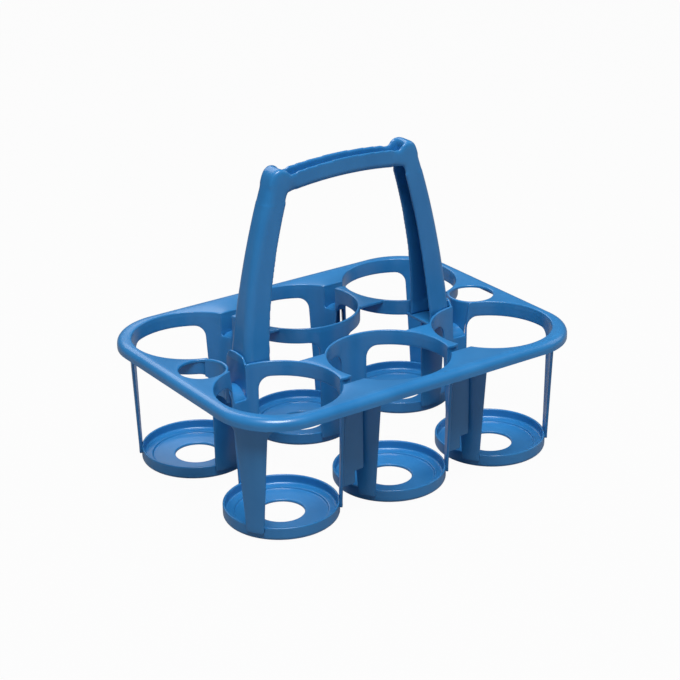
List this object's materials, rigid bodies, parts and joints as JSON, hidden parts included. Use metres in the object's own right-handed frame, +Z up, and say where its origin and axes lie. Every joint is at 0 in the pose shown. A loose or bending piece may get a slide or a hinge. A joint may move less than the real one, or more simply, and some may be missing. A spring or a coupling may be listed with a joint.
{
  "type": "bottle carrier",
  "caption": "moulded plastic bottle carrier: ringed cups on tapered legs with saucers, joined by a rounded rim and lifted by an arched snap-in handle",
  "frame": {"origin": "centre of the footprint on the plane that the saucers stand on", "axes": "X along the rack, Y across it with the front row at -Y, Z up"},
  "size_m": [0.3172, 0.239, 0.2525],
  "materials": {
    "rack_plastic": "satin gloss, moulded",
    "handle_plastic": "satin gloss, moulded"
  },
  "bodies": {
    "root": {"rim": "rack_plastic", "deck_plate": "rack_plastic", "bridge_front_left": "rack_plastic", "bridge_front_right": "rack_plastic", "bridge_back_left": "rack_plastic", "bridge_back_right": "rack_plastic", "ring_front_left": "rack_plastic", "ring_front_middle": "rack_plastic", "ring_front_right": "rack_plastic", "ring_back_left": "rack_plastic", "ring_back_middle": "rack_plastic", "ring_back_right": "rack_plastic", "leg_front_left_inner": "rack_plastic", "leg_front_left_end": "rack_plastic", "leg_front_left_post": "rack_plastic", "leg_front_middle_inner": "rack_plastic", "leg_front_middle_left": "rack_plastic", "leg_front_middle_right": "rack_plastic", "leg_front_right_inner": "rack_plastic", "leg_front_right_post": "rack_plastic", "leg_front_right_end": "rack_plastic", "leg_back_left_inner": "rack_plastic", "leg_back_left_end": "rack_plastic", "leg_back_left_post": "rack_plastic", "leg_back_middle_inner": "rack_plastic", "leg_back_middle_left": "rack_plastic", "leg_back_middle_right": "rack_plastic", "leg_back_right_inner": "rack_plastic", "leg_back_right_post": "rack_plastic", "leg_back_right_end": "rack_plastic", "saucer_front_left": "rack_plastic", "saucer_front_middle": "rack_plastic", "saucer_front_right": "rack_plastic", "saucer_back_left": "rack_plastic", "saucer_back_middle": "rack_plastic", "saucer_back_right": "rack_plastic", "web_front_left": "rack_plastic", "web_front_right": "rack_plastic", "web_back_left": "rack_plastic", "web_back_right": "rack_plastic", "pocket_wall_left": "rack_plastic", "pocket_wall_right": "rack_plastic", "socket_left": "rack_plastic", "socket_right": "rack_plastic", "grip": "handle_plastic", "shoulder_left": "handle_plastic", "shoulder_right": "handle_plastic", "handle_leg_left": "handle_plastic", "handle_leg_right": "handle_plastic", "handle_foot_left": "handle_plastic", "handle_foot_right": "handle_plastic"}
  },
  "joints": []
}
